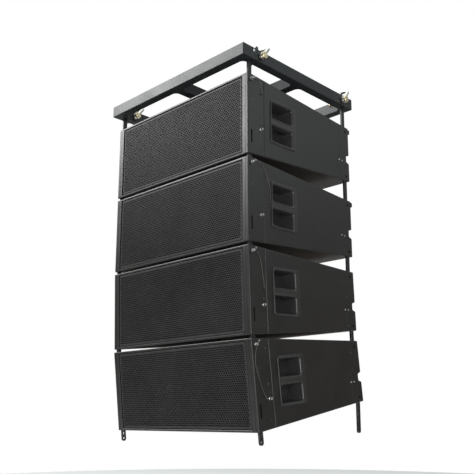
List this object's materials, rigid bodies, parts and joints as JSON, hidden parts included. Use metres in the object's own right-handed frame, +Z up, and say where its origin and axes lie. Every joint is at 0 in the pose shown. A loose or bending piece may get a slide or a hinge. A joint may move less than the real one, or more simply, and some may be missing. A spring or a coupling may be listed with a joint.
{
  "type": "line array speaker",
  "caption": "Hanging line array of trapezoid loudspeaker cabinets on hinged link bars under a fly frame with shackles.",
  "frame": {"origin": "middle of the fly frame's top face, on the crossing of its middle bars", "axes": "+X to the right seen from the front, +Y to the rear, +Z up; the hinge lines run along X"},
  "size_m": [0.8334, 0.6725, 1.4237],
  "materials": {
    "cabinet_paint": "textured black polyurea paint over birch plywood, satin",
    "grille_paint": "black powder coat, satin",
    "frame_paint": "black powder coat on welded steel, satin",
    "handle_plastic": "moulded black nylon, fine grain",
    "board_paint": "black painted board, paper cones and moulded horn, matt",
    "plate_paint": "black moulded panel, satin",
    "link_steel": "black zinc plated steel bar, satin",
    "zinc_steel": "bright zinc plate",
    "yellow_zinc": "yellow passivated zinc plate"
  },
  "bodies": {
    "fly_frame_and_cabinet_1": {"fly_frame": "frame_paint", "cabinet_shell_1": "cabinet_paint", "grille_1": "grille_paint", "driver_board_1": "board_paint", "connector_plate_1": "plate_paint", "handle_left_1": "handle_plastic", "handle_right_1": "handle_plastic", "front_link_left_1": "link_steel", "front_link_right_1": "link_steel", "rear_link_left_1": "link_steel", "rear_link_right_1": "link_steel"},
    "cabinet_2": {"cabinet_shell_2": "cabinet_paint", "grille_2": "grille_paint", "driver_board_2": "board_paint", "connector_plate_2": "plate_paint", "handle_left_2": "handle_plastic", "handle_right_2": "handle_plastic", "front_link_left_2": "link_steel", "front_link_right_2": "link_steel", "rear_link_left_2": "link_steel", "rear_link_right_2": "link_steel"},
    "cabinet_3": {"cabinet_shell_3": "cabinet_paint", "grille_3": "grille_paint", "driver_board_3": "board_paint", "connector_plate_3": "plate_paint", "handle_left_3": "handle_plastic", "handle_right_3": "handle_plastic", "front_link_left_3": "link_steel", "front_link_right_3": "link_steel", "rear_link_left_3": "link_steel", "rear_link_right_3": "link_steel"},
    "cabinet_4": {"cabinet_shell_4": "cabinet_paint", "grille_4": "grille_paint", "driver_board_4": "board_paint", "connector_plate_4": "plate_paint", "handle_left_4": "handle_plastic", "handle_right_4": "handle_plastic"},
    "front_pin_left_1": {"front_pin_left_1": "zinc_steel"},
    "front_pin_right_1": {"front_pin_right_1": "zinc_steel"},
    "front_pin_left_2": {"front_pin_left_2": "zinc_steel"},
    "front_pin_right_2": {"front_pin_right_2": "zinc_steel"},
    "front_pin_left_3": {"front_pin_left_3": "zinc_steel"},
    "front_pin_right_3": {"front_pin_right_3": "zinc_steel"},
    "front_pin_left_4": {"front_pin_left_4": "zinc_steel"},
    "front_pin_right_4": {"front_pin_right_4": "zinc_steel"},
    "front_link_left_4": {"front_link_left_4": "link_steel"},
    "rear_link_left_4": {"rear_link_left_4": "link_steel"},
    "front_link_right_4": {"front_link_right_4": "link_steel"},
    "rear_link_right_4": {"rear_link_right_4": "link_steel"},
    "shackle_front_left": {"shackle_bow_front_left": "zinc_steel", "shackle_pin_front_left": "yellow_zinc"},
    "shackle_front_right": {"shackle_bow_front_right": "zinc_steel", "shackle_pin_front_right": "yellow_zinc"},
    "shackle_rear_left": {"shackle_bow_rear_left": "zinc_steel", "shackle_pin_rear_left": "yellow_zinc"},
    "shackle_rear_right": {"shackle_bow_rear_right": "zinc_steel", "shackle_pin_rear_right": "yellow_zinc"}
  },
  "joints": [
    {"name": "splay_1_to_2", "type": "hinge", "parent": "fly_frame_and_cabinet_1", "child": "cabinet_2", "pos_m": [0, -0.27186, -0.43458], "axis": [1, 0, 0], "range_deg": [0, 7]},
    {"name": "splay_2_to_3", "type": "hinge", "parent": "cabinet_2", "child": "cabinet_3", "pos_m": [0, -0.26966, -0.74857], "axis": [1, 0, 0], "range_deg": [-2.25, 4.75]},
    {"name": "splay_3_to_4", "type": "hinge", "parent": "cabinet_3", "child": "cabinet_4", "pos_m": [0, -0.25515, -1.06224], "axis": [1, 0, 0], "range_deg": [-4.5, 2.5]},
    {"name": "pull_front_pin_left_1", "type": "slide", "parent": "fly_frame_and_cabinet_1", "child": "front_pin_left_1", "axis": [-1, 0, 0], "range_m": [0, 0.03]},
    {"name": "pull_front_pin_right_1", "type": "slide", "parent": "fly_frame_and_cabinet_1", "child": "front_pin_right_1", "axis": [1, 0, 0], "range_m": [0, 0.03]},
    {"name": "pull_front_pin_left_2", "type": "slide", "parent": "cabinet_2", "child": "front_pin_left_2", "axis": [-1, 0, 0], "range_m": [0, 0.03]},
    {"name": "pull_front_pin_right_2", "type": "slide", "parent": "cabinet_2", "child": "front_pin_right_2", "axis": [1, 0, 0], "range_m": [0, 0.03]},
    {"name": "pull_front_pin_left_3", "type": "slide", "parent": "cabinet_3", "child": "front_pin_left_3", "axis": [-1, 0, 0], "range_m": [0, 0.03]},
    {"name": "pull_front_pin_right_3", "type": "slide", "parent": "cabinet_3", "child": "front_pin_right_3", "axis": [1, 0, 0], "range_m": [0, 0.03]},
    {"name": "pull_front_pin_left_4", "type": "slide", "parent": "cabinet_4", "child": "front_pin_left_4", "axis": [-1, 0, 0], "range_m": [0, 0.03]},
    {"name": "pull_front_pin_right_4", "type": "slide", "parent": "cabinet_4", "child": "front_pin_right_4", "axis": [1, 0, 0], "range_m": [0, 0.03]},
    {"name": "stow_front_link_left_4", "type": "slide", "parent": "cabinet_4", "child": "front_link_left_4", "axis": [0, -0.1245, 0.9922], "range_m": [0, 0.042]},
    {"name": "swing_rear_link_left_4", "type": "hinge", "parent": "cabinet_4", "child": "rear_link_left_4", "pos_m": [0, 0.32491, -1.21926], "axis": [1, 0, 0], "range_deg": [-8, 8]},
    {"name": "stow_front_link_right_4", "type": "slide", "parent": "cabinet_4", "child": "front_link_right_4", "axis": [0, -0.1245, 0.9922], "range_m": [0, 0.042]},
    {"name": "swing_rear_link_right_4", "type": "hinge", "parent": "cabinet_4", "child": "rear_link_right_4", "pos_m": [0, 0.32491, -1.21926], "axis": [1, 0, 0], "range_deg": [-8, 8]},
    {"name": "swing_shackle_front_left", "type": "hinge", "parent": "fly_frame_and_cabinet_1", "child": "shackle_front_left", "pos_m": [-0.372, -0.2342, -0.0247], "axis": [1, 0, 0], "range_deg": [-14, 90]},
    {"name": "swing_shackle_front_right", "type": "hinge", "parent": "fly_frame_and_cabinet_1", "child": "shackle_front_right", "pos_m": [0.372, -0.2342, -0.0247], "axis": [1, 0, 0], "range_deg": [-14, 90]},
    {"name": "swing_shackle_rear_left", "type": "hinge", "parent": "fly_frame_and_cabinet_1", "child": "shackle_rear_left", "pos_m": [-0.372, 0.2558, -0.0247], "axis": [1, 0, 0], "range_deg": [-2, 86]},
    {"name": "swing_shackle_rear_right", "type": "hinge", "parent": "fly_frame_and_cabinet_1", "child": "shackle_rear_right", "pos_m": [0.372, 0.2558, -0.0247], "axis": [1, 0, 0], "range_deg": [-2, 86]}
  ]
}
